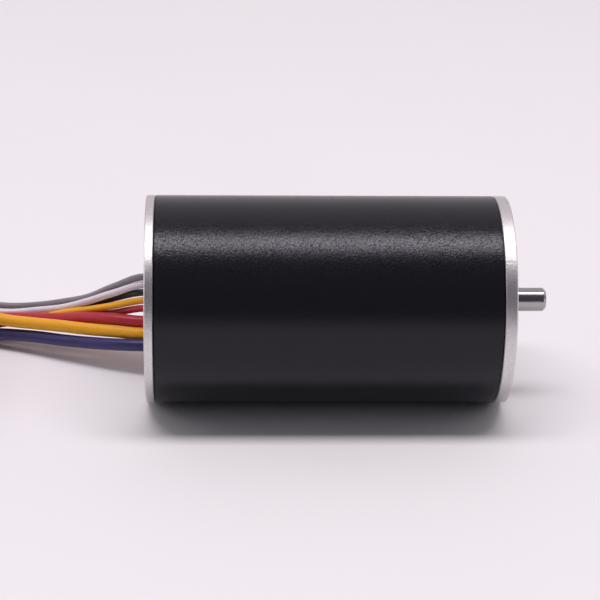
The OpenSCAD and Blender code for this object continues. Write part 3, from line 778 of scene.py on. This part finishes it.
@dataclass(frozen=True)
class Lead:
    """One lead: its insulation from the solder pad to the coil's end, and its tinned end."""

    name: str
    kind: LeadKind
    exit_angle: float
    level: int
    route_mm: Sequence[Point]
    slot_r_mm: float = 13.775
    pad_x_mm: float = -51.1
    straight_mm: float = 0.2
    ring_sides: int = 20
    steps_between: int = 5
    coil_steps: int = 40
    start_steps: int = 2

    @property
    def slot(self) -> str:
        """The record's slot of its insulation."""
        return f"{self.name}_insulation"

    @property
    def family(self) -> str:
        """The first word of the names of its nodes."""
        return self.kind.name.lower()

    @property
    def radius(self) -> float:
        """Radius of the insulation in metres."""
        return self.kind.value / 2 * MM

    def exit_point(self, x_mm: float) -> Vector:
        """The point of its straight start at a place along the axis."""
        angle = math.radians(self.exit_angle)
        y_mm, z_mm = self.slot_r_mm * math.cos(angle), self.slot_r_mm * math.sin(angle)
        return Vector((x_mm, y_mm, z_mm)) * MM

    def knots(self) -> list[Vector]:
        """Points that its free stretch goes through, as in the part's source.

        Returns:
            The points in metres, from the solder pad to the coil.
        """
        straight_end_mm = -REAL.body_l_mm - self.straight_mm
        points = [self.exit_point(self.pad_x_mm), self.exit_point(straight_end_mm)]
        for behind, side, height in self.route_mm:
            x, z = REAL.rear_x - behind * MM, REAL.floor_z + height * MM
            points.append(Vector((x, side * MM, z)))
        first = COIL.point(self.kind, self.level, 0.0)
        points.append(first - self.kind.value * MM * COIL.way(self.kind, 0.0))
        return points

    def free_points(self) -> list[Vector]:
        """Its free stretch as one smooth curve through the knots.

        Returns:
            Points of the curve, in metres.
        """
        knots = self.knots()
        ways = [Vector((-1.0, 0.0, 0.0))] * 2
        for before, after in zip(knots[1:], knots[3:]):
            ways.append((after - before).normalized())
        ways.append(COIL.way(self.kind, 0.0))
        points = []
        for index in range(len(knots) - 1):
            start, end = knots[index], knots[index + 1]
            reach = (end - start).length
            steps = self.start_steps if index == 0 else self.steps_between
            for step in range(steps):
                speeds = ways[index] * reach, ways[index + 1] * reach
                points.append(hermite(start, end, *speeds, step / steps))
        points.append(knots[-1])
        return points

    def free_outside_mm(self) -> float:
        """Length of the knots' straight legs outside the rear face, as in the part's source."""
        knots = self.knots()
        length = sum((after - before).length for before, after in zip(knots, knots[1:]))
        return length / MM - (self.pad_x_mm + REAL.body_l_mm)

    def turned(self) -> float:
        """Degrees through which it turns in the coil, from the length that is left for it."""
        left = REAL.lead_l_mm - self.free_outside_mm() - REAL.tip_l_mm - 2 * self.kind.value
        start_r, pitch = COIL.start_r_mm(self.kind), COIL.pitch_mm
        return (start_r - math.sqrt(start_r ** 2 - pitch * left / math.pi)) * 360 / pitch

    def end(self) -> tuple[Vector, Vector]:
        """Where its insulation ends, and the direction there.

        Returns:
            The point and the direction.
        """
        way = COIL.way(self.kind, self.turned())
        return COIL.point(self.kind, self.level, self.turned()) + self.kind.value * MM * way, way

    def trace(self) -> list[Vector]:
        """Its whole path, from the solder pad to the end of its insulation.

        Returns:
            Points in metres.
        """
        points = self.free_points()
        turned = self.turned()
        count = math.ceil(turned * self.coil_steps / 360)
        for step in range(count + 1):
            points.append(COIL.point(self.kind, self.level, turned * step / count))
        points.append(self.end()[0])
        return points

    def build(self) -> bpy.types.Object:
        """Returns:
            The insulation's object.
        """
        path = self.trace()
        shape = bmesh.new()
        sweep_tube(shape, path, self.radius, self.ring_sides)
        nodes = [f"{self.family}_lead_{self.name}", f"{self.family}_coil_{self.name}"]
        name = f"{self.family}_lead_{self.name}_insulation"
        cord = add_piece(name, shape, self.slot, nodes)
        keep_edges_sharp(cord, TUBE_CREASE)
        tip = TinnedEnd(self).build()
        return cord


@dataclass(frozen=True)
class TinnedEnd:
    """The stripped end of a lead: a bundle of twisted strands, dipped in tin."""

    lead: Lead
    strands: int = 7
    twist_turns: float = 0.6
    steps: int = 10
    sides: int = 8
    phase_r_mm: float = 0.5
    hall_r_mm: float = 0.3

    @property
    def bundle_r(self) -> float:
        """Outside radius of the bundle in metres."""
        thick = self.lead.kind is LeadKind.PHASE
        return (self.phase_r_mm if thick else self.hall_r_mm) * MM

    def build(self) -> bpy.types.Object:
        """Builds the strands.

        Returns:
            The tip's object.
        """
        start, way = self.lead.end()
        side = way.cross(UP).normalized()
        up = side.cross(way)
        # Six strands lie round one, so the bundle is three strands across
        strand_r = self.bundle_r / 3
        shape = bmesh.new()
        for strand in range(self.strands):
            ring_r = 0.0 if strand == 0 else self.bundle_r - strand_r
            path = []
            for step in range(self.steps + 1):
                share = step / self.steps
                angle = 2 * math.pi * (strand / (self.strands - 1) + self.twist_turns * share)
                offset = side * math.cos(angle) * ring_r + up * math.sin(angle) * ring_r
                path.append(start + way * REAL.tip_l_mm * MM * share + offset)
            sweep_tube(shape, path, strand_r, self.sides)
        name = f"{self.lead.family}_lead_{self.lead.name}_tinned_end"
        return add_piece(name, shape, "solder", ["lead_tips"])


def hermite(start: Vector, end: Vector, way_out: Vector, way_in: Vector, share: float) -> Vector:
    """A point of a smooth curve between two points.

    Args:
        start: the first point.
        end: the second point.
        way_out: the curve's speed at the first point.
        way_in: the curve's speed at the second point.
        share: how far along the curve, from 0 to 1.

    Returns:
        The point.
    """
    square, cube = share ** 2, share ** 3
    return ((2 * cube - 3 * square + 1) * start + (cube - 2 * square + share) * way_out
            + (3 * square - 2 * cube) * end + (cube - square) * way_in)


def join_rings(shape: bmesh.types.BMesh, rings: Sequence[Sequence[bmesh.types.BMVert]]) -> None:
    """Adds the faces between each ring of points and the next.

    Args:
        shape: the mesh that they are added to.
        rings: the rings, all with the same number of points.
    """
    for low, high in zip(rings, rings[1:]):
        for side in range(len(low)):
            beside = (side + 1) % len(low)
            shape.faces.new((low[side], low[beside], high[beside], high[side]))


def in_fixed_order(shape: bmesh.types.BMesh) -> bmesh.types.BMesh:
    """Copies a mesh with its points and faces in a fixed order, which a bevel leaves to chance.

    Args:
        shape: the mesh, with no two points in one place; it is freed.

    Returns:
        The copy.
    """
    points = sorted(tuple(vert.co) for vert in shape.verts)
    numbers = {point: number for number, point in enumerate(points)}
    faces = []
    for face in shape.faces:
        ring = [numbers[tuple(vert.co)] for vert in face.verts]
        first = ring.index(min(ring))
        faces.append(ring[first:] + ring[:first])
    shape.free()
    copy = bmesh.new()
    verts = [copy.verts.new(point) for point in points]
    for ring in sorted(faces):
        copy.faces.new([verts[number] for number in ring])
    return copy


def sweep_tube(shape: bmesh.types.BMesh, path: Sequence[Vector], radius: float,
               sides: int) -> None:
    """Adds a closed tube along a path.

    Args:
        shape: the mesh that it is added to.
        path: the tube's centreline.
        radius: the tube's radius.
        sides: number of sides.
    """
    rings = []
    last = len(path) - 1
    for index, point in enumerate(path):
        before, after = path[max(index - 1, 0)], path[min(index + 1, last)]
        way = (after - before).normalized()
        side = way.cross(UP).normalized()
        up = side.cross(way)
        ring = []
        for step in range(sides):
            angle = 2 * math.pi * step / sides
            outward = math.cos(angle) * side + math.sin(angle) * up
            ring.append(shape.verts.new(point + radius * outward))
        rings.append(ring)
    join_rings(shape, rings)
    shape.faces.new(list(reversed(rings[0])))
    shape.faces.new(rings[-1])


def extrude_outline(shape: bmesh.types.BMesh, outline: Sequence[Vector],
                    across: Vector) -> list[bmesh.types.BMVert]:
    """Adds a solid that an outline sweeps out when it moves sideways.

    Args:
        shape: the mesh that it is added to.
        outline: the outline's points.
        across: the way and distance that it moves, half of it to each side.

    Returns:
        The solid's vertices.
    """
    near = [shape.verts.new(point - across / 2) for point in outline]
    far = [shape.verts.new(point + across / 2) for point in outline]
    shape.faces.new(near)
    shape.faces.new(list(reversed(far)))
    join_rings(shape, [near, far])
    return near + far


@dataclass(frozen=True)
class CoilTie:
    """A cable tie round the coil: a band, a head with the pawl's window, and a ribbed tail."""

    number: int
    angle: float
    corner_steps: int = 6
    edge_mm: float = 0.12
    head_l_mm: float = 3.4
    head_h_mm: float = 2.2
    head_edge_mm: float = 0.22
    head_edge_steps: int = 3
    bend_share: float = 1.5
    pawl_wall_mm: float = 0.7
    pawl_drop_mm: float = 0.5
    tail_l_mm: float = 2.5
    tail_taper_mm: float = 0.5
    rib_pitch_mm: float = 0.42
    rib_h_mm: float = 0.16

    def turn_radii(self, kind: LeadKind) -> list[float]:
        """Radii of the turns of one kind of lead that pass under the tie, in millimetres."""
        turned = next(lead.turned() for lead in LEADS if lead.kind is kind)
        reach = 360 * COIL.tie_w_mm / (math.pi * COIL.start_r_mm(kind))
        count = int((turned + reach - self.angle) // 360) + 1
        return [COIL.radius_mm(kind, self.angle + 360 * turn) for turn in range(count)]

    @property
    def inside_mm(self) -> float:
        """Radius of the band's inner side nearest to the coil's centre."""
        return min(self.turn_radii(LeadKind.PHASE)) - LeadKind.PHASE.value / 2 - COIL.tie_gap_mm

    @property
    def outside_mm(self) -> float:
        """Radius of the band's inner side farthest from the coil's centre."""
        return max(self.turn_radii(LeadKind.HALL)) + LeadKind.HALL.value / 2 + COIL.tie_gap_mm

    @property
    def top_mm(self) -> float:
        """Height of the band's inner side over the coil."""
        tops = [COIL.height_mm(lead.kind, lead.level) + lead.kind.value / 2 for lead in LEADS]
        return max(tops) + COIL.tie_gap_mm

    @property
    def across(self) -> Vector:
        """Direction across the band, along the coil's turns."""
        turn = math.radians(self.angle)
        return Vector((-math.cos(turn), -math.sin(turn), 0.0))

    def point(self, radius_mm: float, height_mm: float) -> Vector:
        """A point in the tie's middle plane, in metres."""
        turn = math.radians(self.angle)
        centre = Vector((COIL.x_mm, COIL.side_mm, 0.0)) * MM
        outward = Vector((-math.sin(turn), math.cos(turn), 0.0)) * radius_mm * MM
        return centre + outward + Vector((0.0, 0.0, REAL.floor_z + height_mm * MM))

    def add_band(self, shape: bmesh.types.BMesh) -> None:
        """Adds the band, swept round the turns that it holds."""
        half_t, half_w, edge = COIL.tie_t_mm / 2, COIL.tie_w_mm / 2, self.edge_mm
        bend_r = self.bend_share * COIL.tie_t_mm
        low = (self.inside_mm - half_t + bend_r, half_t + bend_r)
        high = (self.outside_mm + half_t - bend_r, self.top_mm + half_t - bend_r)
        corners = [(high[0], high[1], 0), (low[0], high[1], 90),
                   (low[0], low[1], 180), (high[0], low[1], 270)]
        section = [(half_t, edge - half_w), (half_t, half_w - edge), (half_t - edge, half_w),
                   (edge - half_t, half_w), (-half_t, half_w - edge), (-half_t, edge - half_w),
                   (edge - half_t, -half_w), (half_t - edge, -half_w)]
        rings = []
        for radius, height, start in corners:
            for step in range(self.corner_steps + 1):
                turn = math.radians(start + 90 * step / self.corner_steps)
                ring = []
                for out, side in section:
                    reach = bend_r + out
                    middle = self.point(radius + reach * math.cos(turn),
                                        height + reach * math.sin(turn))
                    ring.append(shape.verts.new(middle + self.across * side * MM))
                rings.append(ring)
        join_rings(shape, rings + rings[:1])

    def add_head(self, shape: bmesh.types.BMesh) -> None:
        """Adds the head, a block with soft edges and the pawl's window in its top."""
        low, high = self.outside_mm - self.head_l_mm, self.outside_mm
        bottom = self.top_mm + COIL.tie_t_mm
        top = bottom + self.head_h_mm
        places = ((low, bottom), (high, bottom), (high, top), (low, top))
        outline = [self.point(*place) for place in places]
        width = COIL.tie_w_mm + 2 * COIL.tie_t_mm
        corners = extrude_outline(shape, outline, self.across * width * MM)
        block = {face for corner in corners for face in corner.link_faces}
        edges = [edge for edge in shape.edges if block.intersection(edge.link_faces)]
        bmesh.ops.bevel(shape, geom=edges, offset=self.head_edge_mm * MM,
                        segments=self.head_edge_steps, profile=0.5, affect="EDGES")
        lid = max(shape.faces, key=lambda face: face.calc_center_median().z)
        bmesh.ops.inset_individual(shape, faces=[lid], thickness=self.pawl_wall_mm * MM)
        bmesh.ops.translate(shape, verts=lid.verts, vec=-self.pawl_drop_mm * MM * UP)

    def add_tail(self, shape: bmesh.types.BMesh) -> None:
        """Adds the tail, which comes out of the head and has ribs on its lower side."""
        end = self.outside_mm - self.head_l_mm + COIL.tie_t_mm
        start = end - COIL.tie_t_mm - self.tail_l_mm
        bottom = self.top_mm + (self.head_h_mm + COIL.tie_t_mm) / 2
        top = bottom + COIL.tie_t_mm
        outline = [self.point(end, top), self.point(start + self.tail_taper_mm, top),
                   self.point(start, bottom + self.rib_h_mm)]
        count = int((end - start) // self.rib_pitch_mm)
        for rib in range(count):
            foot = start + rib * self.rib_pitch_mm
            outline.append(self.point(foot + self.rib_pitch_mm / 2, bottom))
            outline.append(self.point(foot + self.rib_pitch_mm, bottom + self.rib_h_mm))
        outline.append(self.point(end, bottom + self.rib_h_mm))
        extrude_outline(shape, outline, self.across * COIL.tie_w_mm * MM)

    def build(self) -> bpy.types.Object:
        """Builds the tie.

        Returns:
            The tie's object.
        """
        shape = bmesh.new()
        self.add_band(shape)
        self.add_head(shape)
        self.add_tail(shape)
        name = f"coil_tie_{self.number}"
        tie = add_piece(name, in_fixed_order(shape), "black_nylon", ["coil_ties"])
        keep_edges_sharp(tie, BLOCK_CREASE)
        return tie


@dataclass(frozen=True)
class MountThread:
    """The thread in one of the tapped mounting holes of the front flange."""

    number: int
    count: int = 6
    circle_r_mm: float = 11.0
    first_angle: float = 90.0
    hole_r_mm: float = 1.25
    ridge_mm: float = 0.13
    foot_share: float = 0.3
    pitch_mm: float = 0.5
    depth_mm: float = 4.2
    start_mm: float = 0.45
    steps_per_turn: int = 24

    def build(self) -> bpy.types.Object:
        """Builds the thread's ridge as a screw line along the wall of the hole.

        Returns:
            The thread's object.
        """
        place = math.radians(self.first_angle + 360 * self.number / self.count)
        centre_y = self.circle_r_mm * math.cos(place)
        centre_z = self.circle_r_mm * math.sin(place)
        turns = (self.depth_mm - self.start_mm) / self.pitch_mm
        section = [(0.0, -self.foot_share), (-self.ridge_mm, 0.0), (0.0, self.foot_share)]
        shape = bmesh.new()
        rings = []
        for step in range(int(turns * self.steps_per_turn) + 1):
            turn = 2 * math.pi * step / self.steps_per_turn
            ring = []
            for inward, along in section:
                radius = self.hole_r_mm + inward
                x = -self.start_mm - self.pitch_mm * (step / self.steps_per_turn + along)
                y, z = centre_y + radius * math.cos(turn), centre_z + radius * math.sin(turn)
                ring.append(shape.verts.new(Vector((x, y, z)) * MM))
            rings.append(ring)
        join_rings(shape, rings)
        shape.faces.new(rings[0])
        shape.faces.new(list(reversed(rings[-1])))
        name = f"mounting_thread_{self.number + 1}"
        thread = add_piece(name, shape, "machined_rim")
        keep_edges_sharp(thread, BLOCK_CREASE)
        return thread


LEADS = [
    Lead("grey", LeadKind.HALL, -8.5, 4, [
        (6.5, 16, 12.35), (11, 18.1, 9.4), (15.5, 20.2, 7.5), (20, 21.6, 6.2),
        (25.5, 22.8, 5.4), (32, 22.7, 6.2), (39, 22.5, 6.5)]),
    Lead("white", LeadKind.HALL, -14.3, 3, [
        (6.5, 14.3, 11.9), (11, 16.6, 9.3), (15.5, 18.9, 7), (20, 20.3, 5.8),
        (25.5, 21.5, 4.8), (32, 22, 5.1), (39, 22.3, 5.2)]),
    Lead("black", LeadKind.HALL, -20.1, 2, [
        (6.5, 15.6, 10.3), (11, 17.7, 7.9), (15.5, 20.2, 5.8), (20, 22.2, 4.3),
        (25.5, 23.2, 3.9), (32, 22.9, 3.9), (39, 22.6, 3.9)]),
    Lead("yellow", LeadKind.HALL, -25.9, 1, [
        (6.5, 13.4, 9.9), (11, 15.6, 8.1), (15.5, 17.5, 6.6), (20, 19.4, 4.7),
        (25.5, 21.2, 3.5), (32, 22, 2.85), (39, 22.4, 2.6)]),
    Lead("red", LeadKind.HALL, -31.7, 0, [
        (6.5, 14, 8.2), (11, 16.1, 6.6), (15.5, 18.2, 4.9), (20, 20.4, 3.5),
        (25.5, 22.1, 2.4), (32, 22, 1.4), (39, 22.3, 1.3)]),
    Lead("red", LeadKind.PHASE, -42, 1, [
        (6.5, 11.8, 8.1), (11, 13.9, 7.3), (15.5, 15.6, 6.3), (20, 17.4, 5.5),
        (25.5, 19.4, 4.6), (32, 20.3, 3.9), (39, 20.6, 3.9)]),
    Lead("yellow", LeadKind.PHASE, -51.4, 2, [
        (6.5, 10, 6.6), (11, 11.5, 6.3), (15.5, 13.1, 6.1), (20, 14.9, 5.7),
        (25.5, 16.9, 5.4), (32, 18.9, 6), (39, 20.3, 6.1)]),
    Lead("blue", LeadKind.PHASE, -60.9, 0, [
        (6.5, 8.4, 4.85), (11, 10.4, 4.2), (15.5, 12.4, 3.7), (20, 14.5, 3.3),
        (25.5, 16.7, 2.7), (32, 18.9, 1.9), (39, 20.4, 1.7)]),
]


def dress_nodes() -> None:
    """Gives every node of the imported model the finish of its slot."""
    slots = {row["node"]: row["material_slot"] for row in frame["record"]["subparts"]}
    for name, node in frame["nodes"].items():
        node.data.materials.clear()
        node.data.materials.append(SHELF.get(slots[name]))
    LOG.info("%d nodes dressed", len(slots))


def main() -> None:
    """Builds the camera, leads, ties, threads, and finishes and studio."""
    logging.basicConfig(level=logging.INFO, format="%(name)s: %(message)s")
    bpy.context.scene.view_settings.view_transform = "Standard"
    StudioCamera().build()
    for lead in LEADS:
        lead.build()
    for number, angle in enumerate(COIL.tie_angles, start=1):
        CoilTie(number, angle).build()
    for number in range(MountThread.count):
        MountThread(number).build()
    dress_nodes()
    Studio().build()


if __name__ == "__main__":
    main()
